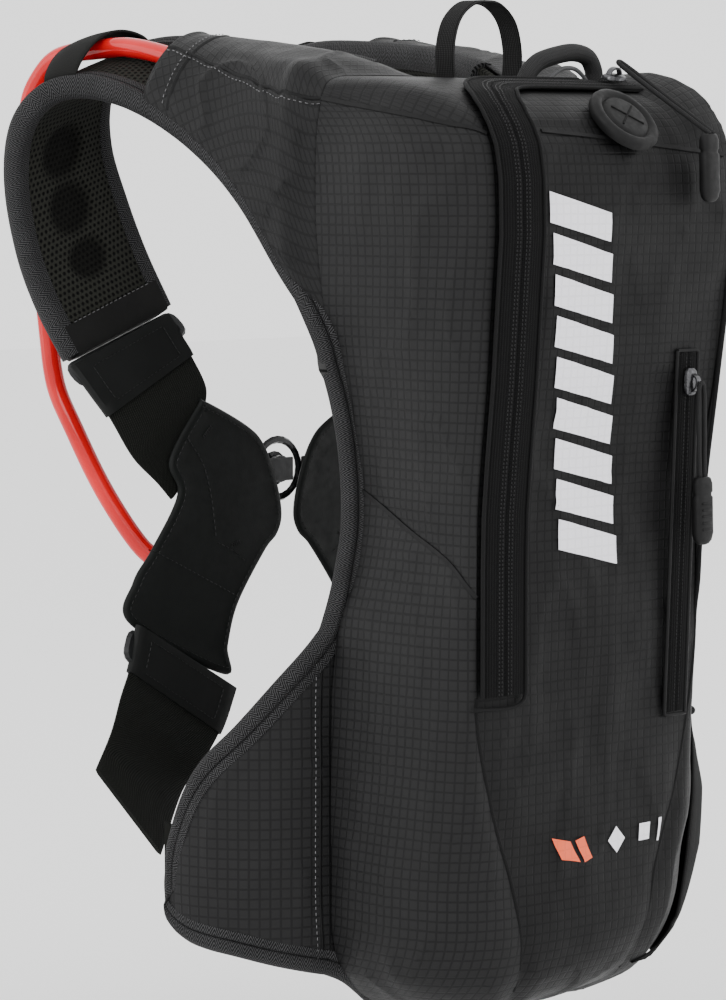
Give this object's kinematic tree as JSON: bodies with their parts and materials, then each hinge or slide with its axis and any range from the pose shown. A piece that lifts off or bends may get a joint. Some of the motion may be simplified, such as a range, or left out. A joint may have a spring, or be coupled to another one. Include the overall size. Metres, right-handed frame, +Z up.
{
  "type": "hydration backpack",
  "caption": "Slim hydration backpack with padded shoulder straps, swinging chest panels, side wings, zipped bag, reservoir and drinking tube.",
  "frame": {"origin": "middle of the back panel's flat body-side face", "axes": "+X to the wearer's right, +Y forward through the wearer, +Z up"},
  "size_m": [0.2802, 0.3307, 0.4959],
  "materials": {
    "ripstop": "charcoal ripstop weave",
    "air_mesh": "black air mesh over foam",
    "binding": "twill binding tape",
    "coated_fabric": "matt coated fabric",
    "elastic": "ribbed elastic",
    "black_plastic": "black acetal",
    "rubber": "moulded soft rubber",
    "zip_tape": "zip tape with coil",
    "slider_metal": "plated zinc",
    "webbing": "black webbing and cord",
    "red_tube": "glossy red tube",
    "reservoir_film": "clear bluish film"
  },
  "bodies": {
    "pack": {"back_panel": "air_mesh", "bag_shell": "ripstop", "bite_valve": "rubber", "chest_panel_left": "coated_fabric", "clasp_base": "black_plastic", "clasp_button": "black_plastic", "divider_panel": "ripstop", "drinking_tube": "red_tube", "drinking_tube_inner": "red_tube", "hook_strip_left": "elastic", "hook_strip_right": "elastic", "lower_elastic_left": "elastic", "lower_elastic_right": "elastic", "main_zip_tape": "zip_tape", "pocket_zip_tape": "zip_tape", "reservoir": "reservoir_film", "reservoir_closure": "black_plastic", "reservoir_outlet": "black_plastic", "side_pocket": "elastic", "strap_binding_inner_left": "binding", "strap_binding_inner_right": "binding", "strap_binding_outer_left": "binding", "strap_binding_outer_right": "binding", "strap_left": "air_mesh", "strap_loop_left": "black_plastic", "strap_loop_right": "black_plastic", "strap_right": "air_mesh", "tail_loop_left": "black_plastic", "tube_clip": "black_plastic", "tube_keeper_left": "elastic", "tube_keeper_right": "elastic", "tube_port": "rubber", "upper_elastic_left": "elastic", "upper_elastic_right": "elastic", "valve_collar": "black_plastic", "wing_band_left": "elastic", "wing_band_right": "elastic", "wing_binding_left": "binding", "wing_binding_right": "binding", "wing_left": "ripstop", "wing_right": "ripstop", "yoke_cover_left": "ripstop", "yoke_cover_right": "ripstop"},
    "main_slider": {"main_zip_slider": "slider_metal"},
    "main_pull": {"main_zip_cord": "webbing", "main_zip_tab": "rubber"},
    "pocket_slider": {"pocket_zip_slider": "slider_metal"},
    "pocket_pull": {"pocket_zip_cord": "webbing", "pocket_zip_tab": "rubber"},
    "chest_right": {"chest_panel_right": "coated_fabric", "chest_elastic_right": "elastic", "chest_lower_elastic_right": "elastic", "tail_loop_right": "black_plastic", "clasp_ring": "black_plastic", "clasp_tab": "webbing"},
    "haul": {"haul_loop": "webbing"},
    "grab": {"grab_handle": "binding"},
    "lever": {"valve_lever": "red_tube"}
  },
  "joints": [
    {"name": "main_zip_slide", "type": "slide", "parent": "pack", "child": "main_slider", "axis": [-1, 0, 0], "range_m": [0, 0.02]},
    {"name": "main_pull_swing", "type": "hinge", "parent": "main_slider", "child": "main_pull", "pos_m": [0.052, -0.06443, 0.21144], "axis": [-1, 0, 0], "range_deg": [0, 60]},
    {"name": "pocket_zip_slide", "type": "slide", "parent": "pack", "child": "pocket_slider", "axis": [0, 0.0389, -0.9992], "range_m": [0, 0.15]},
    {"name": "pocket_pull_swing", "type": "hinge", "parent": "pocket_slider", "child": "pocket_pull", "pos_m": [0.06, -0.111, 0.0566], "axis": [-1, 0, 0], "range_deg": [0, 80]},
    {"name": "chest_right_swing", "type": "hinge", "parent": "pack", "child": "chest_right", "pos_m": [0.0767, 0.1267, 0.0422], "axis": [0.1125, -0.1107, -0.9875], "range_deg": [0, 60], "stiffness_Nm_per_rad": 0.06},
    {"name": "haul_loop_bend", "type": "hinge", "parent": "pack", "child": "haul", "pos_m": [0.001, -0.0185, 0.207], "axis": [1, 0, 0], "range_deg": [-25, 25], "stiffness_Nm_per_rad": 0.01},
    {"name": "grab_handle_bend", "type": "hinge", "parent": "pack", "child": "grab", "pos_m": [0.034, -0.043, 0.2064], "axis": [1, 0, 0], "range_deg": [-25, 25], "stiffness_Nm_per_rad": 0.02},
    {"name": "valve_lever_turn", "type": "hinge", "parent": "pack", "child": "lever", "pos_m": [-0.059, 0.141, -0.069], "axis": [0, 1, 0], "range_deg": [0, 90]}
  ]
}
